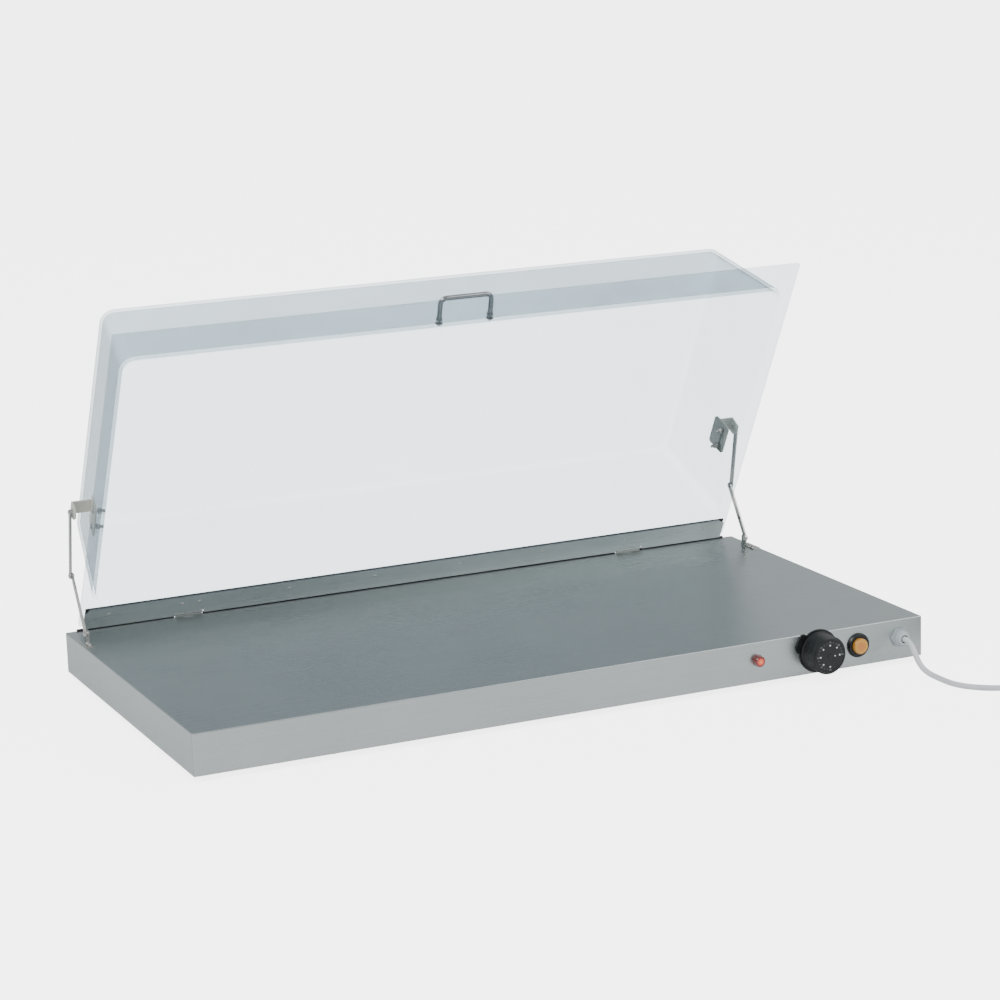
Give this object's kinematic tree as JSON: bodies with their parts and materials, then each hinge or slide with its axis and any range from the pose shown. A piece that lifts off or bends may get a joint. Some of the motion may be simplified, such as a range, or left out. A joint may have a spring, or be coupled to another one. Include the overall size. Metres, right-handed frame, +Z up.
{
  "type": "heated display plate with hinged clear dome cover",
  "caption": "Low stainless warming plate with a clear dome cover hinged at the rear on folding stays, a thermostat knob, power button, pilot lamp and power cord.",
  "frame": {"origin": "centre of the footprint of the whole object without its cord, on the ground plane under the rubber feet", "axes": "+X along the long side towards the cord gland, +Y from the front with the controls to the rear with the hinges, +Z up"},
  "size_m": [1.178, 0.8014, 0.4956],
  "materials": {
    "stainless": "satin, brushed along the length",
    "zinc_steel": "bright zinc",
    "chrome": "polished",
    "clear_acrylic": "clear, polished, vacuum formed",
    "black_rubber": "matt",
    "black_plastic": "fine satin",
    "amber_plastic": "translucent gloss",
    "red_plastic": "translucent gloss",
    "grey_plastic": "satin moulded",
    "white_plastic": "soft PVC, satin",
    "insulation_fibre": "pressed mineral fibre, matt",
    "aluminium_sheet": "mill",
    "heater_silicone": "matt, orange red silicone",
    "copper": "drawn tube"
  },
  "bodies": {
    "root": {"base_shell": "stainless", "bottom_cover": "stainless", "underside_screws": "zinc_steel", "rubber_feet": "black_rubber", "heat_spreader_plate": "aluminium_sheet", "heater_mat": "heater_silicone", "insulation_board": "insulation_fibre", "clamp_bars": "zinc_steel", "weld_studs": "zinc_steel", "clamp_nuts": "zinc_steel", "thermostat_body": "black_plastic", "thermostat_screws": "zinc_steel", "sensor_bulb": "copper", "bulb_clips": "zinc_steel", "capillary_tube": "copper", "knob_bezel": "black_plastic", "switch_bezel": "black_plastic", "switch_locknut": "black_plastic", "switch_body": "black_plastic", "switch_spring": "zinc_steel", "pilot_lamp_lens": "red_plastic", "pilot_lamp_body": "black_plastic", "pilot_lamp_nut": "zinc_steel", "gland_body": "grey_plastic", "gland_cap_nut": "grey_plastic", "gland_locknut": "grey_plastic", "cord_inner_end": "white_plastic", "terminal_block": "white_plastic", "earth_stud": "zinc_steel", "internal_wires": "white_plastic", "hinge_base_leaves": "stainless", "hinge_pins": "zinc_steel", "hinge_base_rivets": "zinc_steel", "stay_foot_brackets": "chrome", "foot_bracket_screws": "zinc_steel", "stay_foot_rivets": "chrome", "power_cord": "white_plastic", "cord_tail": "white_plastic", "cord_coil": "white_plastic", "plug_body": "white_plastic", "plug_pins": "zinc_steel"},
    "lid": {"lid_dome": "clear_acrylic", "hinge_strip": "stainless", "strip_gasket": "black_rubber", "strip_rivets": "zinc_steel", "hinge_lid_leaves": "stainless", "lid_handle": "chrome", "handle_collars": "chrome", "handle_screws": "zinc_steel", "stay_lid_brackets": "chrome", "lid_bracket_screws": "zinc_steel", "lid_bracket_nuts": "zinc_steel", "stay_lid_rivets": "chrome"},
    "stay_lower_left": {"stay_lower_arm_left": "chrome"},
    "stay_lower_right": {"stay_lower_arm_right": "chrome"},
    "stay_upper_left": {"stay_upper_arm_left": "chrome"},
    "stay_upper_right": {"stay_upper_arm_right": "chrome"},
    "thermostat_knob": {"thermostat_knob": "black_plastic", "thermostat_shaft": "zinc_steel"},
    "switch_button": {"switch_button_cap": "amber_plastic"}
  },
  "joints": [
    {"name": "lid_hinge", "type": "hinge", "parent": "root", "child": "lid", "pos_m": [0, 0.21532, 0.066], "axis": [1, 0, 0], "range_deg": [0, 61.95]},
    {"name": "stay_lower_left_pivot", "type": "hinge", "parent": "root", "child": "stay_lower_left", "pos_m": [-0.49, 0.15932, 0.072], "axis": [1, 0, 0], "range_deg": [0, 45.97]},
    {"name": "stay_lower_right_pivot", "type": "hinge", "parent": "root", "child": "stay_lower_right", "pos_m": [0.49, 0.15932, 0.072], "axis": [1, 0, 0], "range_deg": [0, 45.97]},
    {"name": "stay_upper_left_pivot", "type": "hinge", "parent": "lid", "child": "stay_upper_left", "pos_m": [-0.4925, 0.1867, 0.22921], "axis": [1, 0, 0], "range_deg": [0, 39.28]},
    {"name": "stay_upper_right_pivot", "type": "hinge", "parent": "lid", "child": "stay_upper_right", "pos_m": [0.4925, 0.1867, 0.22921], "axis": [1, 0, 0], "range_deg": [0, 39.28]},
    {"name": "thermostat_turn", "type": "hinge", "parent": "root", "child": "thermostat_knob", "pos_m": [0.344, -0.28868, 0.037], "axis": [0, 1, 0], "range_deg": [0, 300]},
    {"name": "power_button", "type": "slide", "parent": "root", "child": "switch_button", "axis": [0, 1, 0], "range_m": [0, 0.003], "stiffness_N_per_m": 600, "springref_m": -0.002}
  ],
  "couplings": [
    {"joint": "stay_lower_left_pivot", "follows": "lid_hinge", "ratio": 0.7404},
    {"joint": "stay_lower_right_pivot", "follows": "lid_hinge", "ratio": 0.7404},
    {"joint": "stay_upper_left_pivot", "follows": "lid_hinge", "ratio": 0.6325},
    {"joint": "stay_upper_right_pivot", "follows": "lid_hinge", "ratio": 0.6325}
  ]
}
